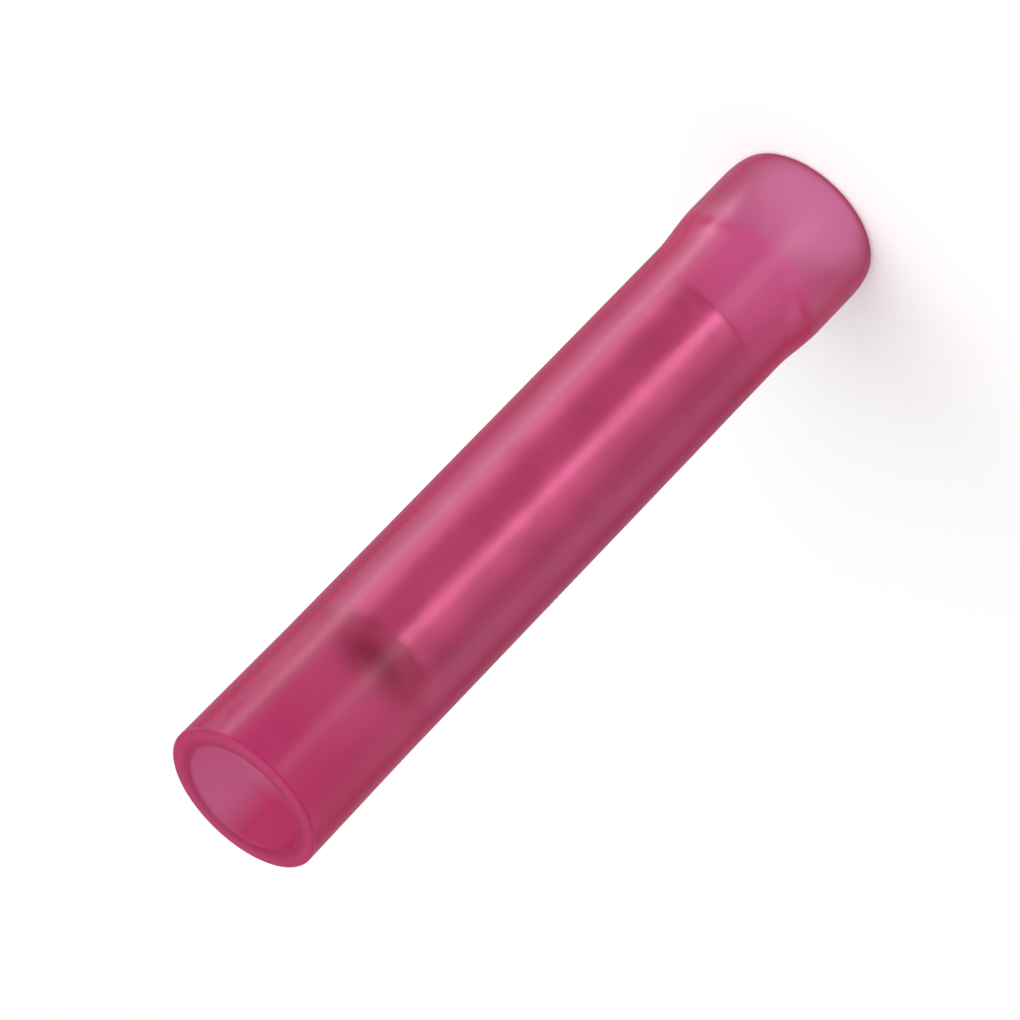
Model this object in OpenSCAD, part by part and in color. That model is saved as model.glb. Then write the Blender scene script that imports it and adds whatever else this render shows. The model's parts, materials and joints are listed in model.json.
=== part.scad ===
// Butt splice connector: a tinned copper crimp barrel pressed into a translucent nylon sleeve.
// It stands on the rim of its bell, with the tapered mouth on top and its bore along Z.
// The origin is at the middle of the bell's rim, on the surface that it stands on.

/* [Crimp barrel] */
// Length of the barrel
barrel_length = 15; // [12:0.5:16]
// Outside diameter of the barrel
barrel_diameter = 3.4; // [3:0.05:3.8]
// Diameter of the two conductor bores
conductor_bore = 1.8; // [1.4:0.05:2.2]
// Chamfer that leads the strands into each conductor bore
bore_lead = 0.25; // [0.1:0.05:0.4]
// Rounding of the barrel's outer edges
barrel_edge = 0.3; // [0.05:0.05:0.4]
// How far the barrel lies from the middle of the sleeve, towards the bell
barrel_offset = 0.2; // [0:0.1:1]

/* [Wire stop] */
// Length of the stop that is rolled into the middle of the barrel
stop_length = 1.2; // [0.8:0.1:2]
// How far the stop stands into the bore
stop_height = 0.3; // [0.2:0.05:0.5]
// Depth of the rolled groove on the outside of the barrel
stop_groove = 0.04; // [0.02:0.02:0.2]

/* [Sleeve] */
// Length of the sleeve from rim to rim
sleeve_length = 26; // [24:0.5:32]
// Wall of the sleeve over the barrel
sleeve_wall = 0.67; // [0.4:0.01:0.9]
// Radial room between the barrel and its seat in the sleeve
barrel_clearance = 0.02; // [0.01:0.01:0.05]
// Length of the seat past the barrel's upper end
seat_margin = 0.1; // [0.05:0.05:0.5]
// Rounding of the sharp edges of both rims
rim_edge = 0.06; // [0.02:0.01:0.12]

/* [Tapered mouth] */
// How much wider the mouth's bore is than the seat, on the radius
mouth_step = 0.11; // [0.06:0.01:0.2]
// Wall at the rim of the mouth
mouth_wall = 0.61; // [0.4:0.01:0.8]
// Length over which the outside widens to the rim
mouth_length = 4.7; // [2:0.1:6]
// Length of the cone between the mouth's bore and the seat
mouth_lead = 0.8; // [0.6:0.1:1.5]

/* [Bell] */
// How much wider the bell's bore is than the seat, on the radius
bell_step = 0.31; // [0.2:0.01:0.45]
// Wall of the bell
bell_wall = 0.5; // [0.4:0.01:0.7]
// Length of the bell's bore
bell_depth = 2.8; // [2:0.1:3.8]
// Length of the cone between the seat and the bell's bore
bell_lead = 0.35; // [0.2:0.05:0.7]
// Length of the bell's outside, from the ramp to the rim
bell_length = 2.4; // [1.6:0.1:4]
// Length of the ramp on the outside, between the straight body and the bell
bell_ramp = 1.85; // [0.8:0.05:3]
// How far the bell's outside falls in at its rounded rim
rim_fall = 0.2; // [0.1:0.01:0.3]
// Length of that rounding along the bell
rim_run = 0.8; // [0.2:0.05:1.2]

/* [Hidden] */
turn_facets = 96;
edge_steps = 6;
stop_steps = 12;

barrel_r = barrel_diameter / 2;
bore_r = conductor_bore / 2;
barrel_half = barrel_length / 2;
barrel_middle = sleeve_length / 2 - barrel_offset;

seat_r = barrel_r + barrel_clearance;
seat_top = barrel_middle + barrel_half + seat_margin;
sleeve_r = seat_r + sleeve_wall;

mouth_bore_r = seat_r + mouth_step;
mouth_r = mouth_bore_r + mouth_wall;

bell_bore_r = seat_r + bell_step;
bell_r = bell_bore_r + bell_wall;

// Points of an elliptical arc, as [radius, height]
function arc(centre, radii, from, to) =
    [for (i = [0 : edge_steps])
        let (angle = from + (to - from) * i / edge_steps)
        centre + [radii[0] * cos(angle), radii[1] * sin(angle)]];

// Points of a smooth ring that stands out from a wall by rise, taken up (1) or down (-1) the axis
function ring_swell(base_r, rise, way) =
    [for (i = [0 : stop_steps])
        let (share = 2 * i / stop_steps - 1)
        [base_r + rise * pow(cos(90 * share), 2), way * share * stop_length / 2]];

// A round piece about the connector's axis, from its half section
module turned(section) {
    rotate_extrude($fn = turn_facets)
        polygon(section);
}

sleeve_outside = concat(
    arc([bell_r - rim_fall, rim_run], [rim_fall, rim_run], -90, 0),
    [[bell_r, bell_length]],
    [[sleeve_r, bell_length + bell_ramp]],
    [[sleeve_r, sleeve_length - mouth_length]],
    arc([mouth_r - rim_edge, sleeve_length - rim_edge], [rim_edge, rim_edge], 0, 90)
);

sleeve_inside = concat(
    arc([mouth_bore_r + rim_edge, sleeve_length - rim_edge], [rim_edge, rim_edge], 90, 180),
    [[mouth_bore_r, seat_top + mouth_lead]],
    [[seat_r, seat_top]],
    [[seat_r, bell_depth + bell_lead]],
    [[bell_bore_r, bell_depth]],
    arc([bell_bore_r + rim_edge, rim_edge], [rim_edge, rim_edge], 180, 270)
);

barrel_outside = concat(
    arc([barrel_r - barrel_edge, barrel_edge - barrel_half], [barrel_edge, barrel_edge], -90, 0),
    ring_swell(barrel_r, -stop_groove, 1),
    arc([barrel_r - barrel_edge, barrel_half - barrel_edge], [barrel_edge, barrel_edge], 0, 90)
);

barrel_inside = concat(
    [[bore_r + bore_lead, barrel_half]],
    [[bore_r, barrel_half - bore_lead]],
    ring_swell(bore_r, -stop_height, -1),
    [[bore_r, bore_lead - barrel_half]],
    [[bore_r + bore_lead, -barrel_half]]
);

// Moulded nylon tube with a bell, the barrel's seat and a tapered mouth
module insulating_sleeve() {
    color([0.78, 0.2, 0.42, 0.8])
        turned(concat(sleeve_outside, sleeve_inside));
}

// Tinned copper tube with a conductor bore at each end and the stop between them
module crimp_barrel() {
    color([0.8, 0.79, 0.77])
        translate([0, 0, barrel_middle])
            turned(concat(barrel_outside, barrel_inside));
}

insulating_sleeve();
crimp_barrel();
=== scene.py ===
"""Butt splice connector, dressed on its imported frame.

A translucent nylon sleeve stands on its bell round a tinned copper crimp barrel. Both are turned pieces:
each is a half section that one Geometry Nodes tree takes round the axis. Lengths are in metres.
"""
import json
from math import cos, pi, radians, sin, tan

import bmesh
import bpy
from bpy.props import FloatProperty, FloatVectorProperty, IntProperty, PointerProperty
from mathutils import Matrix, Vector


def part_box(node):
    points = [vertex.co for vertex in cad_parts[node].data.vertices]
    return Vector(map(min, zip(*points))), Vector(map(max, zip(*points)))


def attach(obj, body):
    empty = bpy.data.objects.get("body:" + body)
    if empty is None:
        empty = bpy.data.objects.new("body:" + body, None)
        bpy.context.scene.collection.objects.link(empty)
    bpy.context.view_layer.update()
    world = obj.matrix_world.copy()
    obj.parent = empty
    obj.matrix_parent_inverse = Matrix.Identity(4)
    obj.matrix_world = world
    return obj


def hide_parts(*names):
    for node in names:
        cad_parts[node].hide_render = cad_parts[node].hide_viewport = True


bl_info = {
    "name": "Butt splice connector",
    "version": (1, 0, 0),
    "blender": (4, 5, 0),
    "location": "3D View > Sidebar > Splice",
    "description": "Dresses the packed butt splice connector with its nylon sleeve and crimp barrel",
    "category": "Object",
}

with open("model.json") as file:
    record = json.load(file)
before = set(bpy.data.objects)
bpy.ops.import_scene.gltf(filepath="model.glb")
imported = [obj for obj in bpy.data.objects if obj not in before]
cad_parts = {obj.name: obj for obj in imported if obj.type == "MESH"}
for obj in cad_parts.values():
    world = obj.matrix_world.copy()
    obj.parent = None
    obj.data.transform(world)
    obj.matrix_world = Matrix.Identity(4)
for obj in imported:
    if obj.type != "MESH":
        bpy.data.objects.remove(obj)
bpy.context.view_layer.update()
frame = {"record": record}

MM = 0.001
SLEEVE_LOW, SLEEVE_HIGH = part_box("insulating_sleeve")
BARREL_LOW, BARREL_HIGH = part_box("crimp_barrel")
BORE_RADIUS = {
    mount["name"]: mount["dims"]["r_mm"] * MM
    for mount in frame["record"]["mounts"]
    if mount["kind"] == "bore"
}

# How near the seams of a turned sheet have to lie to close
SEAM_DISTANCE = 0.001 * MM

# The middle part of a noise from 0 to 1, where nearly all of it lies
NOISE_SPAN = (0.3, 0.7)
MILKY_SPAN = (0.35, 0.65)
DULL_SPAN = (0.38, 0.66)

# Pointiness from a flat face to a worn edge, and how much copper shows there
WORN_SPAN = (0.54, 0.6)
WORN_SHARE = 0.6

# Layer Weight's facing from a wall that is seen face on to one that is seen edge on
EDGE_ON_SPAN = (0.31, 0.6)

NYLON_IOR = 1.53

# Half the side of the floor, in metres
FLOOR_HALF = 1.5

# Place and side of the lamp overhead, in metres
SOFTBOX_PLACE = (0.13, -0.1, 0.375)
SOFTBOX_SIDE = 0.3

# Strip lamps: name, degrees round the axis from the camera's side, width, and the setting of its level
STRIPS = (
    ("side_strip", 67.5, 0.9 * MM, "side_level"),
    ("side_glow", 97, 2.8 * MM, "side_glow"),
    ("front_strip", -8, 1.5 * MM, "front_level"),
    ("front_glow", -30, 2.4 * MM, "front_glow"),
)

# The camera's sensor in millimetres, and the nearest distance that it sees in metres
SENSOR_WIDTH = 36.0
CLIP_START = 0.01


def length_prop(name, description, default):
    """A length that the user may change."""
    return FloatProperty(
        name=name, description=description, default=default, min=0, precision=5, unit="LENGTH"
    )


def share_prop(name, description, default):
    """A value from 0 to 1 that the user may change."""
    return FloatProperty(name=name, description=description, default=default, min=0, max=1, subtype="FACTOR")


def colour_prop(name, description, default):
    """A linear colour that the user may change."""
    return FloatVectorProperty(
        name=name, description=description, default=default, size=3, min=0, max=1, subtype="COLOR"
    )


def angle_prop(name, description, degrees):
    """An angle that the user may change."""
    return FloatProperty(name=name, description=description, default=radians(degrees), subtype="ANGLE")


def level_prop(name, description, default):
    """A brightness, where 1 is white, that the user may change."""
    return FloatProperty(name=name, description=description, default=default, min=0)


class SleeveSettings(bpy.types.PropertyGroup):
    """Sizes and finish of the nylon sleeve"""

    length: length_prop("Length", "Length from rim to rim", SLEEVE_HIGH[2])
    body_radius: length_prop("Body radius", "Outside radius over the barrel", 2.39 * MM)
    seat_radius: length_prop("Seat radius", "Inside radius over the barrel", 1.72 * MM)
    seat_top: length_prop("Seat top", "Height at which the barrel's seat ends", 20.4 * MM)
    mouth_radius: length_prop("Mouth radius", "Outside radius at the mouth's rim", 2.44 * MM)
    mouth_bore: length_prop(
        "Mouth bore", "Inside radius of the mouth", BORE_RADIUS["insulation_entry_mouth_end"]
    )
    mouth_taper: length_prop("Mouth taper", "Length over which the outside widens to the mouth", 4.7 * MM)
    mouth_lead: length_prop("Mouth lead", "Length of the cone from the mouth's bore to the seat", 0.8 * MM)
    bell_radius: length_prop("Bell radius", "Outside radius of the bell", SLEEVE_HIGH[0])
    bell_bore: length_prop("Bell bore", "Inside radius of the bell", BORE_RADIUS["insulation_entry_bell_end"])
    bell_depth: length_prop("Bell depth", "Length of the bell's bore", 2.8 * MM)
    bell_lead: length_prop("Bell lead", "Length of the cone from the bell's bore to the seat", 0.35 * MM)
    bell_length: length_prop("Bell length", "Length of the bell's outside below its ramp", 2.4 * MM)
    bell_ramp: length_prop("Bell ramp", "Length of the ramp between bell and body", 1.85 * MM)
    rim_fall: length_prop("Rim fall", "How far the bell falls in at its rounded rim", 0.2 * MM)
    rim_run: length_prop("Rim run", "Length of that rounding along the bell", 0.8 * MM)
    rim_edge: length_prop("Rim edge", "Rounding of the sharp edges of both rims", 0.06 * MM)
    ripple: length_prop("Ripple", "Depth of the moulded wall's unevenness", 0.006 * MM)
    ripple_length: length_prop("Ripple length", "Length of that unevenness", 3 * MM)
    line_width: length_prop("Line width", "Width of the lines that the mould leaves", 0.35 * MM)
    line_length: length_prop("Line length", "Length of those lines", 9 * MM)
    cloud_size: length_prop("Cloud size", "Size of the nylon's milky clouds", 2.6 * MM)
    flared_full: length_prop("Flared full", "Height up to which it has the flared bell's colours", 3.8 * MM)
    flared_end: length_prop("Flared end", "Height at which those colours have faded out", 6.5 * MM)
    inside_radius: length_prop("Inside radius", "Radius up to which a surface is an inside", 1.9 * MM)
    outside_radius: length_prop("Outside radius", "Radius from which it is an outside", 2.2 * MM)
    # The matt inside of the mouth is painted depth shade: paler near the rim, fading out deeper in
    depth_shade_full: length_prop("Matt full", "How far down the inside of the mouth is fully matt", 1.5 * MM)
    depth_shade_end: length_prop("Matt depth", "How far down that matt inside has faded out", 4.5 * MM)
    # The mouth's redder side is painted shade
    painted_shade_side: angle_prop("Red side", "Where the mouth's redder side lies, from the camera's side", -116)
    painted_shade_start: length_prop("Red start", "How far from the axis towards it the redder side starts", 0.55 * MM)
    painted_shade_full: length_prop("Red full", "How far from the axis it is fully redder", 1.3 * MM)
    facets: IntProperty(name="Facets", description="Faces round the sleeve", default=192, min=24)
    clear_colour: colour_prop("Clear colour", "Tint of the light that goes through", (0.90, 0.40, 0.62))
    dye_colour: colour_prop("Dye colour", "Colour of the dyed nylon inside the wall", (0.64, 0.028, 0.18))
    pale_colour: colour_prop("Pale colour", "Colour of the nylon where it is milkier", (0.68, 0.046, 0.215))
    flared_clear: colour_prop("Flared clear", "Tint of that light at the flared bell", (1.0, 0.5, 0.82))
    mouth_clear: colour_prop("Mouth clear", "Tint of that light at the mouth's rim", (1.0, 0.64, 0.90))
    # A tint of the painted depth shade inside the mouth
    depth_shade_clear: colour_prop("Matt clear", "Tint of that light inside the mouth", (0.95, 0.38, 0.70))
    thin_clear: colour_prop("Thin clear", "Tint of that light in the bell's thin wall", (0.97, 0.57, 0.89))
    flared_dye: colour_prop("Flared dye", "Colour of the nylon at the flared bell", (0.70, 0.035, 0.19))
    thin_dye: colour_prop("Thin dye", "Colour of the nylon in the bell's thin wall", (0.68, 0.105, 0.25))
    rim_dye: colour_prop("Rim dye", "Colour of the nylon at both rims", (0.64, 0.07, 0.235))
    # The line round the mouth's bore is painted shade
    painted_shade_line_dye: colour_prop("Line dye", "Colour of the line round the mouth's bore", (0.5, 0.035, 0.15))
    # The colour of the painted depth shade inside the mouth
    depth_shade_dye: colour_prop("Mouth dye", "Colour of the matt inside of the mouth", (0.65, 0.052, 0.232))
    # Tint and colour of the painted shade on the mouth's redder side
    painted_shade_clear: colour_prop("Red clear", "Tint of that light on the mouth's redder side", (0.92, 0.08, 0.36))
    painted_shade_dye: colour_prop("Red dye", "Colour of the nylon on that side", (0.56, 0.004, 0.075))
    milkiness: share_prop("Milkiness", "Share of the light that the nylon scatters", 0.3)
    edge_milkiness: share_prop("Edge milkiness", "That share where the wall is seen edge on", 0.92)
    # The milky share of the painted depth shade inside the mouth
    depth_shade_milkiness: share_prop("Mouth milkiness", "That share on the matt inside of the mouth", 0.75)
    rim_milkiness: share_prop("Rim milkiness", "That share at both rims", 0.75)
    skin: share_prop("Skin", "Strength of the milky nylon's own mirror image", 0.045)
    roughness: share_prop("Roughness", "Roughness of the satin surface", 0.31)
    rough_swing: share_prop("Rough swing", "How much that roughness varies either way", 0.03)
    gloss: share_prop("Gloss", "Strength of the surface's mirror image", 0.3)


class BarrelSettings(bpy.types.PropertyGroup):
    """Sizes and finish of the crimp barrel"""

    low: length_prop("Low end", "Height of the barrel's lower end", BARREL_LOW[2])
    high: length_prop("High end", "Height of the barrel's upper end", BARREL_HIGH[2])
    radius: length_prop("Radius", "Outside radius of the barrel", BARREL_HIGH[0])
    bore: length_prop("Bore", "Radius of the conductor bores", BORE_RADIUS["conductor_bore_mouth_end"])
    bore_lead: length_prop("Bore lead", "Chamfer that leads the strands in", 0.25 * MM)
    edge: length_prop("Edge", "Rounding of the outer edges", 0.3 * MM)
    stop_length: length_prop("Stop length", "Length of the rolled wire stop", 1.2 * MM)
    stop_height: length_prop("Stop height", "How far the stop stands into the bore", 0.3 * MM)
    stop_groove: length_prop("Stop groove", "Depth of the stop's groove outside", 0.04 * MM)
    ripple: length_prop("Ripple", "Depth of the drawn tube's unevenness", 0.004 * MM)
    ripple_length: length_prop("Ripple length", "Length of that unevenness", 1.5 * MM)
    line_width: length_prop("Line width", "Width of the lines that the die leaves", 0.12 * MM)
    line_length: length_prop("Line length", "Length of those lines", 4 * MM)
    line_depth: length_prop("Line depth", "Depth of those lines", 0.01 * MM)
    line_relief: share_prop("Line relief", "Strength of those lines", 0.5)
    cloud_size: length_prop("Cloud size", "Size of the dull clouds", 1.1 * MM)
    bore_edge: length_prop("Bore edge", "How far the bore's colour reaches past its wall", 0.1 * MM)
    facets: IntProperty(name="Facets", description="Faces round the barrel", default=160, min=24)
    tin_colour: colour_prop("Tin colour", "Colour of the tin plate", (0.82, 0.81, 0.80))
    dull_colour: colour_prop("Dull colour", "Colour of the tin where it is duller", (0.62, 0.61, 0.60))
    copper_colour: colour_prop("Copper colour", "Colour of the copper at the worn edges", (0.62, 0.40, 0.30))
    cut_colour: colour_prop("Cut colour", "Colour of the dull cut ends", (0.5, 0.44, 0.40))
    # The bores' dark colour is painted shade in the recess
    bore_shade_colour: colour_prop("Bore colour", "Colour of the dull bores", (0.2, 0.16, 0.14))
    roughness: share_prop("Roughness", "Roughness of the tin plate", 0.24)
    smoother: share_prop("Smoother", "How much smoother the lines make it", 0.06)
    rougher: share_prop("Rougher", "How much rougher the lines make it", 0.08)


class StageSettings(bpy.types.PropertyGroup):
    """Camera, lamps and floor"""

    view_distance: length_prop("View distance", "From the camera to the middle of the connector", 208.3 * MM)
    view_elevation: angle_prop("View elevation", "How far the camera looks down", 30.21)
    view_roll: angle_prop("View roll", "Turn of the camera about its own view", -135.95)
    view_angle: angle_prop("View angle", "Width of the view", 7.806)
    aim_left: length_prop("Aim left", "How far left of the connector's middle it aims", 0.612 * MM)
    aim_down: length_prop("Aim down", "How far below the connector's middle it aims", 0.273 * MM)
    floor_colour: colour_prop("Floor colour", "Colour of the floor", (0.86, 0.86, 0.86))
    floor_lift: level_prop("Floor lift", "Light that the floor adds to what is seen of it", 0.30)
    room_level: level_prop("Room level", "Brightness of the room", 0.5)
    softbox_level: level_prop("Softbox level", "Brightness of the lamp overhead", 2.9)
    strip_reach: length_prop("Strip reach", "From the connector's axis to the strip lamps", 6 * MM)
    strip_height: length_prop("Strip height", "Height of the strip lamps", 25 * MM)
    strip_tilt: angle_prop("Strip tilt", "How far the strip lamps lean away from the connector", 4)
    side_level: level_prop("Side strip level", "Brightness of the strip lamp at the side", 8.0)
    side_glow: level_prop("Side glow level", "Brightness of the wider strip lamp behind that one", 1.2)
    front_level: level_prop("Front strip level", "Brightness of the strip lamp in front", 4.6)
    front_glow: level_prop("Front glow level", "Brightness of the wider strip lamp beside that one", 1.0)


# Half sections, as (radius, height) points


def arc(centre, radii, start, end, steps=10):
    """Points of an elliptical arc, from one angle to another in degrees."""
    angles = [radians(start + (end - start) * i / steps) for i in range(steps + 1)]
    return [(centre[0] + radii[0] * cos(a), centre[1] + radii[1] * sin(a)) for a in angles]


def eased(start, end, steps=14):
    """Points of a smooth ramp that leaves and arrives along the wall."""
    shares = [i / steps for i in range(steps + 1)]
    return [
        (start[0] + (end[0] - start[0]) * (3 * s * s - 2 * s**3), start[1] + (end[1] - start[1]) * s)
        for s in shares
    ]


def ring_swell(radius, rise, low, high, steps=20):
    """Points of a smooth ring that stands out from a wall by rise, from one height to the other."""
    shares = [i / steps for i in range(steps + 1)]
    return [(radius + rise * sin(pi * s) ** 2, low + (high - low) * s) for s in shares]


def filled(points, step=0.4 * MM):
    """The closed section with more points on its long straight stretches."""
    dense = []
    for here, there in zip(points, points[1:] + points[:1]):
        gap = Vector(there) - Vector(here)
        count = max(1, round(gap.length / step))
        dense += [tuple(Vector(here) + gap * i / count) for i in range(count)]
    return dense


def sleeve_section(s):
    """Half section of the sleeve: up its outside and down its inside."""
    outside = (
        arc((s.bell_radius - s.rim_fall, s.rim_run), (s.rim_fall, s.rim_run), -90, 0)
        + eased((s.bell_radius, s.bell_length), (s.body_radius, s.bell_length + s.bell_ramp))
        + [(s.body_radius, s.length - s.mouth_taper)]
        + arc((s.mouth_radius - s.rim_edge, s.length - s.rim_edge), (s.rim_edge, s.rim_edge), 0, 90)
    )
    inside = (
        arc((s.mouth_bore + s.rim_edge, s.length - s.rim_edge), (s.rim_edge, s.rim_edge), 90, 180)
        + eased((s.mouth_bore, s.seat_top + s.mouth_lead), (s.seat_radius, s.seat_top))
        + eased((s.seat_radius, s.bell_depth + s.bell_lead), (s.bell_bore, s.bell_depth))
        + arc((s.bell_bore + s.rim_edge, s.rim_edge), (s.rim_edge, s.rim_edge), 180, 270)
    )
    return filled(outside + inside)


def barrel_section(b):
    """Half section of the barrel: up its outside and down its bore."""
    middle = (b.low + b.high) / 2
    stop_low = middle - b.stop_length / 2
    stop_high = middle + b.stop_length / 2
    outside = (
        arc((b.radius - b.edge, b.low + b.edge), (b.edge, b.edge), -90, 0)
        + ring_swell(b.radius, -b.stop_groove, stop_low, stop_high)
        + arc((b.radius - b.edge, b.high - b.edge), (b.edge, b.edge), 0, 90)
    )
    inside = (
        [(b.bore + b.bore_lead, b.high), (b.bore, b.high - b.bore_lead)]
        + ring_swell(b.bore, -b.stop_height, stop_high, stop_low)
        + [(b.bore, b.low + b.bore_lead), (b.bore + b.bore_lead, b.low)]
    )
    return filled(outside + inside)


# The Geometry Nodes tree that turns a half section


def add_node(tree, kind, **settings):
    """A new node, with its settings and the values of its unlinked inputs."""
    node = tree.nodes.new(kind)
    for name, value in settings.pop("inputs", {}).items():
        node.inputs[name].default_value = value
    for name, value in settings.items():
        setattr(node, name, value)
    return node


def maths(tree, operation, first, second=None):
    """The output of one sum; its operands are sockets or numbers."""
    node = add_node(tree, "ShaderNodeMath", operation=operation)
    for socket, value in zip(node.inputs, (first, second)):
        if isinstance(value, bpy.types.NodeSocket):
            tree.links.new(value, socket)
        elif value is not None:
            socket.default_value = value
    return node.outputs[0]


def turned_piece_tree():
    """A tree that takes its object's half section once round Z, with a little unevenness in the wall."""
    tree = bpy.data.node_groups.new("Turned piece", "GeometryNodeTree")
    sockets = (
        ("Half Section", "NodeSocketGeometry"),
        ("Facets", "NodeSocketInt"),
        ("Ripple Depth", "NodeSocketFloat"),
        ("Ripple Length", "NodeSocketFloat"),
        ("Seam Distance", "NodeSocketFloat"),
        ("Finish", "NodeSocketMaterial"),
    )
    for name, kind in sockets:
        tree.interface.new_socket(name, in_out="INPUT", socket_type=kind)
    tree.interface.new_socket("Turned Piece", in_out="OUTPUT", socket_type="NodeSocketGeometry")
    given = add_node(tree, "NodeGroupInput").outputs
    link = tree.links.new

    # A sheet with one column of points for each point of the section, and one row for each facet
    size = add_node(tree, "GeometryNodeAttributeDomainSize", component="MESH")
    link(given["Half Section"], size.inputs[0])
    rows = maths(tree, "ADD", given["Facets"], 1)
    sheet = add_node(tree, "GeometryNodeMeshGrid")
    link(maths(tree, "ADD", size.outputs["Point Count"], 1), sheet.inputs["Vertices X"])
    link(rows, sheet.inputs["Vertices Y"])

    # Where each point of the sheet lies on the section and round the axis
    index = add_node(tree, "GeometryNodeInputIndex").outputs[0]
    column = maths(tree, "FLOOR", maths(tree, "DIVIDE", maths(tree, "ADD", index, 0.5), rows))
    row = maths(tree, "SUBTRACT", index, maths(tree, "MULTIPLY", column, rows))
    on_section = maths(tree, "FLOORED_MODULO", column, size.outputs["Point Count"])
    # The rows go clockwise, so that the faces of a section drawn up its outside point outwards
    turn = maths(tree, "MULTIPLY", maths(tree, "DIVIDE", row, given["Facets"]), -2 * pi)
    sample = add_node(tree, "GeometryNodeSampleIndex", data_type="FLOAT_VECTOR", domain="POINT")
    link(given["Half Section"], sample.inputs["Geometry"])
    link(add_node(tree, "GeometryNodeInputPosition").outputs[0], sample.inputs["Value"])
    link(on_section, sample.inputs["Index"])
    point = add_node(tree, "ShaderNodeSeparateXYZ")
    link(sample.outputs[0], point.inputs[0])

    # The wall draws in a little here and there, never out
    across = maths(tree, "COSINE", turn)
    along = maths(tree, "SINE", turn)

    def place(radius):
        spot = add_node(tree, "ShaderNodeCombineXYZ")
        link(maths(tree, "MULTIPLY", radius, across), spot.inputs[0])
        link(maths(tree, "MULTIPLY", radius, along), spot.inputs[1])
        link(point.outputs["Z"], spot.inputs[2])
        return spot.outputs[0]

    noise = add_node(tree, "ShaderNodeTexNoise", inputs={"Detail": 1.0})
    link(place(point.outputs["X"]), noise.inputs["Vector"])
    link(maths(tree, "DIVIDE", 1.0, given["Ripple Length"]), noise.inputs["Scale"])
    ripple = maths(tree, "MULTIPLY", noise.outputs[0], given["Ripple Depth"])
    turned = add_node(tree, "GeometryNodeSetPosition")
    link(sheet.outputs["Mesh"], turned.inputs["Geometry"])
    link(place(maths(tree, "SUBTRACT", point.outputs["X"], ripple)), turned.inputs["Position"])

    # Both seams of the sheet close, and the finish goes on
    joined = add_node(tree, "GeometryNodeMergeByDistance")
    link(turned.outputs[0], joined.inputs["Geometry"])
    link(given["Seam Distance"], joined.inputs["Distance"])
    smooth = add_node(tree, "GeometryNodeSetShadeSmooth")
    link(joined.outputs[0], smooth.inputs["Geometry"])
    real = add_node(tree, "GeometryNodeRealizeInstances")
    link(smooth.outputs[0], real.inputs["Geometry"])
    finish = add_node(tree, "GeometryNodeSetMaterial")
    link(real.outputs[0], finish.inputs["Geometry"])
    link(given["Finish"], finish.inputs["Material"])
    link(finish.outputs[0], add_node(tree, "NodeGroupOutput").inputs[0])
    return tree


def turned_piece(name, section, facets, ripple_depth, ripple_length, material):
    """A closed piece turned from its half section, as a plain mesh at the origin."""
    outline = bpy.data.meshes.new(name + "_section")
    outline.from_pydata([(r, 0, z) for r, z in section], [], [])
    piece = bpy.data.objects.new(name, outline)
    bpy.context.scene.collection.objects.link(piece)
    tree = bpy.data.node_groups.get("Turned piece") or turned_piece_tree()
    modifier = piece.modifiers.new("Turned piece", "NODES")
    modifier.node_group = tree
    values = {
        "Facets": facets,
        "Ripple Depth": ripple_depth,
        "Ripple Length": ripple_length,
        "Seam Distance": SEAM_DISTANCE,
        "Finish": material,
    }
    for socket in tree.interface.items_tree:
        if socket.in_out == "INPUT" and socket.name in values:
            modifier[socket.identifier] = values[socket.name]
    depsgraph = bpy.context.evaluated_depsgraph_get()
    mesh = bpy.data.meshes.new_from_object(piece.evaluated_get(depsgraph))
    piece.modifiers.clear()
    piece.data = mesh
    mesh.name = name
    bpy.data.meshes.remove(outline)

    shell = bmesh.new()
    shell.from_mesh(mesh)
    is_closed = all(edge.is_manifold for edge in shell.edges)
    volume = shell.calc_volume(signed=True)
    shell.free()
    if not is_closed or volume <= 0:
        raise RuntimeError(f"{name} is open or inside out: closed {is_closed}, volume {volume}")
    return piece


# Finishes


def drawn_lines_group():
    """Uneven lines along the axis, as a die or mould leaves them, and soft clouds, both from 0 to 1."""
    group = bpy.data.node_groups.get("Drawn lines")
    if group:
        return group
    group = bpy.data.node_groups.new("Drawn lines", "ShaderNodeTree")
    for name in ("Line Width", "Line Length", "Cloud Size"):
        group.interface.new_socket(name, in_out="INPUT", socket_type="NodeSocketFloat")
    for name in ("Lines", "Clouds"):
        group.interface.new_socket(name, in_out="OUTPUT", socket_type="NodeSocketFloat")
    given = add_node(group, "NodeGroupInput").outputs
    ready = add_node(group, "NodeGroupOutput").inputs
    place = add_node(group, "ShaderNodeTexCoord").outputs["Object"]
    link = group.links.new

    stretch = add_node(group, "ShaderNodeCombineXYZ")
    for i, size in enumerate(("Line Width", "Line Width", "Line Length")):
        link(maths(group, "DIVIDE", 1.0, given[size]), stretch.inputs[i])
    stretched = add_node(group, "ShaderNodeVectorMath", operation="MULTIPLY")
    link(place, stretched.inputs[0])
    link(stretch.outputs[0], stretched.inputs[1])
    lines = add_node(group, "ShaderNodeTexNoise", inputs={"Scale": 1.0, "Detail": 3.0, "Roughness": 0.6})
    link(stretched.outputs[0], lines.inputs["Vector"])
    link(lines.outputs[0], ready["Lines"])

    clouds = add_node(group, "ShaderNodeTexNoise", inputs={"Detail": 2.0})
    link(place, clouds.inputs["Vector"])
    link(maths(group, "DIVIDE", 1.0, given["Cloud Size"]), clouds.inputs["Scale"])
    link(clouds.outputs[0], ready["Clouds"])
    return group


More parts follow.
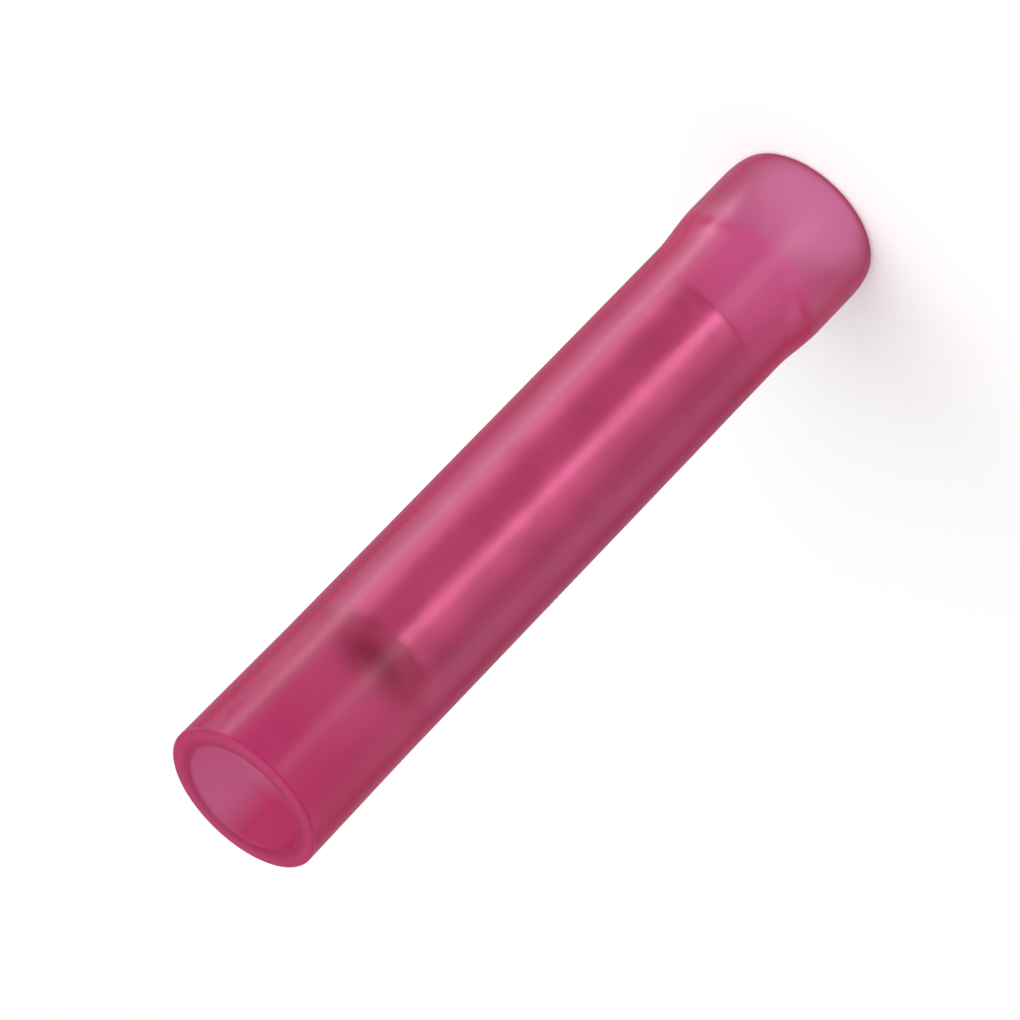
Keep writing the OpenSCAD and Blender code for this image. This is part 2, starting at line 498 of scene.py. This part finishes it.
def new_material(name):
    """An empty node material with its output and its principled shader."""
    material = bpy.data.materials.new(name)
    material.use_nodes = True
    tree = material.node_tree
    tree.nodes.clear()
    output = add_node(tree, "ShaderNodeOutputMaterial")
    shader = add_node(tree, "ShaderNodeBsdfPrincipled")
    tree.links.new(shader.outputs[0], output.inputs["Surface"])
    return material, tree, shader, output


def place_lines(tree, line_width, line_length, cloud_size):
    """The shared lines and clouds in a material, at its own sizes."""
    node = add_node(tree, "ShaderNodeGroup", node_tree=drawn_lines_group())
    node.inputs["Line Width"].default_value = line_width
    node.inputs["Line Length"].default_value = line_length
    node.inputs["Cloud Size"].default_value = cloud_size
    return node.outputs


def ranged(tree, value, from_low, from_high, to_low, to_high):
    """A value moved from one range to another, held at its ends."""
    node = add_node(tree, "ShaderNodeMapRange")
    for name, number in (
        ("From Min", from_low), ("From Max", from_high), ("To Min", to_low), ("To Max", to_high)
    ):
        node.inputs[name].default_value = number
    tree.links.new(value, node.inputs["Value"])
    return node.outputs["Result"]


def blended(tree, share, first, second):
    """A mix of two colours, each a colour or a socket."""
    node = add_node(tree, "ShaderNodeMix", data_type="RGBA")
    tree.links.new(share, node.inputs["Factor"])
    for socket, colour in ((node.inputs[6], first), (node.inputs[7], second)):
        if isinstance(colour, bpy.types.NodeSocket):
            tree.links.new(colour, socket)
        else:
            socket.default_value = (*colour, 1)
    return node.outputs[2]


def mixed(tree, share, first, second):
    """A mix of a socket's value and a number."""
    node = add_node(tree, "ShaderNodeMix", data_type="FLOAT")
    tree.links.new(share, node.inputs["Factor"])
    tree.links.new(first, node.inputs["A"])
    node.inputs["B"].default_value = second
    return node.outputs["Result"]


def spot_on_piece(tree):
    """Place of the shaded spot, as X, Y and Z, and its radius."""
    spot = add_node(tree, "ShaderNodeSeparateXYZ")
    tree.links.new(add_node(tree, "ShaderNodeTexCoord").outputs["Object"], spot.inputs[0])
    x, y, z = spot.outputs
    squares = [maths(tree, "MULTIPLY", side, side) for side in (x, y)]
    return x, y, z, maths(tree, "SQRT", maths(tree, "ADD", *squares))


def bumped(tree, shader, height, distance, strength):
    """Relief on a shader's surface."""
    node = add_node(tree, "ShaderNodeBump", inputs={"Strength": strength, "Distance": distance})
    tree.links.new(height, node.inputs["Height"])
    tree.links.new(node.outputs[0], shader.inputs["Normal"])


def pink_nylon(s):
    """Translucent moulded nylon with a satin skin: paler at the flared bell, with painted depth shade and a
    painted shaded side inside the mouth.
    """
    material, tree, shader, output = new_material("pink_nylon")
    link = tree.links.new
    marks = place_lines(tree, s.line_width, s.line_length, s.cloud_size)
    smooth_end = s.roughness - s.rough_swing
    rough_end = s.roughness + s.rough_swing
    rough = ranged(tree, marks["Clouds"], *NOISE_SPAN, smooth_end, rough_end)
    x, y, height, radius = spot_on_piece(tree)
    flared = ranged(tree, height, s.flared_full, s.flared_end, 1, 0)
    thin = ranged(tree, height, s.bell_depth, s.bell_depth + s.bell_lead, 1, 0)

    # The inside of the mouth has painted depth shade: milkier and paler near the rim, fading out deeper in.
    # The wall round the mouth is tinted less
    depth_shade_low = s.length - s.depth_shade_end
    empty = ranged(tree, height, depth_shade_low, s.length, 0, 1)
    inside = ranged(tree, radius, s.inside_radius, s.outside_radius, 1, 0)
    risen = ranged(tree, height, depth_shade_low, s.length - s.depth_shade_full, 0, 1)
    depth_shade = maths(tree, "MULTIPLY", inside, risen)

    # One side of the mouth's inside is painted redder and darker, as painted shade
    sideways = maths(tree, "MULTIPLY", x, sin(s.painted_shade_side))
    forwards = maths(tree, "MULTIPLY", y, cos(s.painted_shade_side))
    lean = maths(tree, "SUBTRACT", sideways, forwards)
    painted_shade = ranged(tree, lean, s.painted_shade_start, s.painted_shade_full, 0, 1)

    clear = blended(tree, empty, s.clear_colour, s.mouth_clear)
    clear = blended(tree, thin, blended(tree, flared, clear, s.flared_clear), s.thin_clear)
    clear = blended(tree, depth_shade, clear, blended(tree, painted_shade, s.depth_shade_clear, s.painted_shade_clear))
    link(clear, shader.inputs["Base Color"])
    link(rough, shader.inputs["Roughness"])
    shader.inputs["IOR"].default_value = NYLON_IOR
    shader.inputs["Specular Tint"].default_value = (s.gloss, s.gloss, s.gloss, 1)
    shader.inputs["Transmission Weight"].default_value = 1.0

    # Both rims have their own colour, with a dark line of painted shade round the mouth's bore
    high_rim = ranged(tree, height, s.length - 2 * s.rim_edge, s.length - s.rim_edge, 0, 1)
    low_rim = ranged(tree, height, s.rim_edge, 2 * s.rim_edge, 1, 0)
    rim = maths(tree, "MAXIMUM", high_rim, low_rim)
    bore_edge = ranged(tree, radius, s.mouth_bore + 3 * s.rim_edge, s.mouth_bore + 6 * s.rim_edge, 1, 0)
    painted_shade_line = maths(tree, "MULTIPLY", high_rim, bore_edge)

    def zoned(body):
        """The milk's colour in each zone, from its colour over the barrel."""
        colour = blended(tree, thin, blended(tree, flared, body, s.flared_dye), s.thin_dye)
        colour = blended(tree, depth_shade, colour, blended(tree, painted_shade, s.depth_shade_dye, s.painted_shade_dye))
        return blended(tree, painted_shade_line, blended(tree, rim, colour, s.rim_dye), s.painted_shade_line_dye)

    # The milk in the wall throws half of its light back and lets the other half through
    cloudy = ranged(tree, marks["Clouds"], *MILKY_SPAN, 0, 1)
    thrown_back = add_node(tree, "ShaderNodeBsdfPrincipled")
    thrown_back.inputs["Specular IOR Level"].default_value = s.skin
    link(zoned(blended(tree, cloudy, s.dye_colour, s.pale_colour)), thrown_back.inputs["Base Color"])
    link(rough, thrown_back.inputs["Roughness"])
    let_through = add_node(tree, "ShaderNodeBsdfTranslucent")
    link(zoned(s.dye_colour), let_through.inputs["Color"])
    milk = add_node(tree, "ShaderNodeMixShader", inputs={"Fac": 0.5})
    link(thrown_back.outputs[0], milk.inputs[1])
    link(let_through.outputs[0], milk.inputs[2])

    # There is more of it where the wall is seen edge on, in the painted depth shade inside the mouth and at
    # the rims
    edge_on = add_node(tree, "ShaderNodeLayerWeight", inputs={"Blend": 0.5})
    share = ranged(tree, edge_on.outputs["Facing"], *EDGE_ON_SPAN, s.milkiness, s.edge_milkiness)
    share = mixed(tree, depth_shade, share, s.depth_shade_milkiness)
    share = mixed(tree, rim, share, s.rim_milkiness)
    nylon = add_node(tree, "ShaderNodeMixShader")
    link(share, nylon.inputs["Fac"])
    link(shader.outputs[0], nylon.inputs[1])
    link(milk.outputs[0], nylon.inputs[2])
    link(nylon.outputs[0], output.inputs["Surface"])
    return material


def tinned_copper(b):
    """Dull tin plate on drawn copper, with the copper showing a little at worn edges."""
    material, tree, shader, _ = new_material("tinned_copper")
    marks = place_lines(tree, b.line_width, b.line_length, b.cloud_size)
    dull = ranged(tree, marks["Clouds"], *DULL_SPAN, 0, 1)
    tin = blended(tree, dull, b.tin_colour, b.dull_colour)
    edge = add_node(tree, "ShaderNodeNewGeometry")
    worn = ranged(tree, edge.outputs["Pointiness"], *WORN_SPAN, 0, WORN_SHARE)
    plated = blended(tree, worn, tin, b.copper_colour)

    # The cut ends are duller, and the bores are painted dark as painted shade in the recess
    _, _, height, radius = spot_on_piece(tree)
    high_end = ranged(tree, height, b.high - b.edge, b.high, 0, 1)
    low_end = ranged(tree, height, b.low, b.low + b.edge, 1, 0)
    cut = maths(tree, "MAXIMUM", high_end, low_end)
    inside = ranged(tree, radius, b.bore + b.bore_edge, b.bore + b.bore_lead, 1, 0)
    metal = blended(tree, inside, blended(tree, cut, plated, b.cut_colour), b.bore_shade_colour)
    tree.links.new(metal, shader.inputs["Base Color"])
    shader.inputs["Metallic"].default_value = 1.0
    smooth_end = b.roughness - b.smoother
    rough = ranged(tree, marks["Lines"], *NOISE_SPAN, smooth_end, b.roughness + b.rougher)
    tree.links.new(rough, shader.inputs["Roughness"])
    bumped(tree, shader, marks["Lines"], b.line_depth, b.line_relief)
    return material


# Stage


def seen_directly(tree):
    """1 for what the camera sees, also in metal or through nylon, and 0 for light that falls on things."""
    path = add_node(tree, "ShaderNodeLightPath").outputs
    mirrored = maths(tree, "MAXIMUM", path["Is Glossy Ray"], path["Is Transmission Ray"])
    return maths(tree, "MAXIMUM", path["Is Camera Ray"], mirrored)


def make_floor(stage):
    """A wide pale floor that keeps the connector's shadow."""
    half = FLOOR_HALF
    mesh = bpy.data.meshes.new("floor")
    mesh.from_pydata(
        [(-half, -half, 0), (half, -half, 0), (half, half, 0), (-half, half, 0)], [], [(0, 1, 2, 3)]
    )
    floor = bpy.data.objects.new("floor", mesh)
    bpy.context.scene.collection.objects.link(floor)
    material, tree, shader, output = new_material("floor_paper")
    shader.inputs["Base Color"].default_value = (*stage.floor_colour, 1)
    shader.inputs["Roughness"].default_value = 1.0
    shader.inputs["Specular IOR Level"].default_value = 0.0
    lift = add_node(tree, "ShaderNodeEmission")
    tree.links.new(maths(tree, "MULTIPLY", seen_directly(tree), stage.floor_lift), lift.inputs["Strength"])
    both = add_node(tree, "ShaderNodeAddShader")
    tree.links.new(shader.outputs[0], both.inputs[0])
    tree.links.new(lift.outputs[0], both.inputs[1])
    tree.links.new(both.outputs[0], output.inputs["Surface"])
    mesh.materials.append(material)


def make_room(stage):
    """An even pale room that shows as white."""
    world = bpy.data.worlds.new("room")
    world.use_nodes = True
    tree = world.node_tree
    tree.nodes.clear()
    level = ranged(tree, seen_directly(tree), 0, 1, stage.room_level, 1)
    background = add_node(tree, "ShaderNodeBackground", inputs={"Color": (1, 1, 1, 1)})
    tree.links.new(level, background.inputs["Strength"])
    output = add_node(tree, "ShaderNodeOutputWorld")
    tree.links.new(background.outputs[0], output.inputs["Surface"])
    bpy.context.scene.world = world


def make_lamp(name, place, target, width, height, level):
    """A flat soft lamp of an even brightness, where 1 is white, that faces its target."""
    light = bpy.data.lights.new(name, "AREA")
    light.shape = "RECTANGLE"
    light.size = width
    light.size_y = height
    light.energy = level * pi * width * height
    lamp = bpy.data.objects.new(name, light)
    bpy.context.scene.collection.objects.link(lamp)
    facing = (Vector(target) - Vector(place)).to_track_quat("-Z", "Y")
    lamp.matrix_world = Matrix.Translation(place) @ facing.to_matrix().to_4x4()
    lamp.visible_camera = False
    return lamp


def make_camera(stage):
    """The camera at the photograph's viewing angle; the image's middle lies a little off the connector's."""
    middle = Vector((0, 0, SLEEVE_HIGH[2] / 2))
    elevation = stage.view_elevation
    back = Vector((0, -cos(elevation), sin(elevation)))
    across = Vector((1, 0, 0))
    up = Vector((0, sin(elevation), cos(elevation)))
    roll = stage.view_roll
    right = cos(roll) * across + sin(roll) * up
    top = cos(roll) * up - sin(roll) * across
    place = middle + stage.view_distance * back
    aim = middle - stage.aim_left * right - stage.aim_down * top
    depth = (place - aim).normalized()
    right = top.cross(depth).normalized()
    top = depth.cross(right)
    data = bpy.data.cameras.new("camera")
    data.sensor_width = SENSOR_WIDTH
    data.lens = SENSOR_WIDTH / (2 * tan(stage.view_angle / 2))
    data.clip_start = CLIP_START
    camera = bpy.data.objects.new("camera", data)
    bpy.context.scene.collection.objects.link(camera)
    turn = Matrix((right, top, depth)).transposed().to_4x4()
    camera.matrix_world = Matrix.Translation(place) @ turn
    bpy.context.scene.camera = camera


# Operators and panel


class SPLICE_OT_make_sleeve(bpy.types.Operator):
    """Make the nylon sleeve in place of its CAD node"""

    bl_idname = "splice.make_sleeve"
    bl_label = "Make sleeve"

    def execute(self, context):
        s = context.scene.splice_sleeve
        section = sleeve_section(s)
        finish = pink_nylon(s)
        sleeve = turned_piece("sleeve", section, s.facets, s.ripple, s.ripple_length, finish)
        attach(sleeve, "root")
        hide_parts("insulating_sleeve")
        return {"FINISHED"}


class SPLICE_OT_make_barrel(bpy.types.Operator):
    """Make the crimp barrel in place of its CAD node"""

    bl_idname = "splice.make_barrel"
    bl_label = "Make barrel"

    def execute(self, context):
        b = context.scene.splice_barrel
        section = barrel_section(b)
        finish = tinned_copper(b)
        barrel = turned_piece("barrel", section, b.facets, b.ripple, b.ripple_length, finish)
        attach(barrel, "root")
        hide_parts("crimp_barrel")
        return {"FINISHED"}


class SPLICE_OT_make_stage(bpy.types.Operator):
    """Make the floor, the room, the lamps and the camera"""

    bl_idname = "splice.make_stage"
    bl_label = "Make stage"

    def execute(self, context):
        stage = context.scene.splice_stage
        context.scene.view_settings.view_transform = "Standard"
        make_floor(stage)
        make_room(stage)
        make_camera(stage)
        make_lamp("softbox", SOFTBOX_PLACE, (0, 0, 0), SOFTBOX_SIDE, SOFTBOX_SIDE, stage.softbox_level)
        middle = stage.strip_height / 2
        target = (0, 0, middle + stage.strip_reach * tan(stage.strip_tilt))
        for name, azimuth, width, setting in STRIPS:
            turn = radians(azimuth)
            place = (stage.strip_reach * sin(turn), -stage.strip_reach * cos(turn), middle)
            level = getattr(stage, setting)
            strip = make_lamp(name, place, target, width, stage.strip_height, level)
            # It only shows in the gloss, so the even light of the room and the softbox stays as it is
            strip.visible_diffuse = False
        return {"FINISHED"}


class SPLICE_PT_panel(bpy.types.Panel):
    """The connector's sizes, finishes and stage"""

    bl_idname = "SPLICE_PT_panel"
    bl_label = "Butt splice connector"
    bl_space_type = "VIEW_3D"
    bl_region_type = "UI"
    bl_category = "Splice"

    def draw(self, context):
        scene = context.scene
        groups = (
            (scene.splice_sleeve, SPLICE_OT_make_sleeve),
            (scene.splice_barrel, SPLICE_OT_make_barrel),
            (scene.splice_stage, SPLICE_OT_make_stage),
        )
        for settings, operator in groups:
            box = self.layout.box()
            for name in settings.__annotations__:
                box.prop(settings, name)
            box.operator(operator.bl_idname)


CLASSES = (
    SleeveSettings,
    BarrelSettings,
    StageSettings,
    SPLICE_OT_make_sleeve,
    SPLICE_OT_make_barrel,
    SPLICE_OT_make_stage,
    SPLICE_PT_panel,
)


def register():
    """Register the classes and hang their settings on the scene."""
    for cls in CLASSES:
        bpy.utils.register_class(cls)
    bpy.types.Scene.splice_sleeve = PointerProperty(type=SleeveSettings)
    bpy.types.Scene.splice_barrel = PointerProperty(type=BarrelSettings)
    bpy.types.Scene.splice_stage = PointerProperty(type=StageSettings)


def unregister():
    """Take the settings and the classes away again."""
    del bpy.types.Scene.splice_sleeve
    del bpy.types.Scene.splice_barrel
    del bpy.types.Scene.splice_stage
    for cls in reversed(CLASSES):
        bpy.utils.unregister_class(cls)


def main():
    register()
    bpy.ops.splice.make_sleeve()
    bpy.ops.splice.make_barrel()
    bpy.ops.splice.make_stage()


if __name__ == "__main__":
    main()
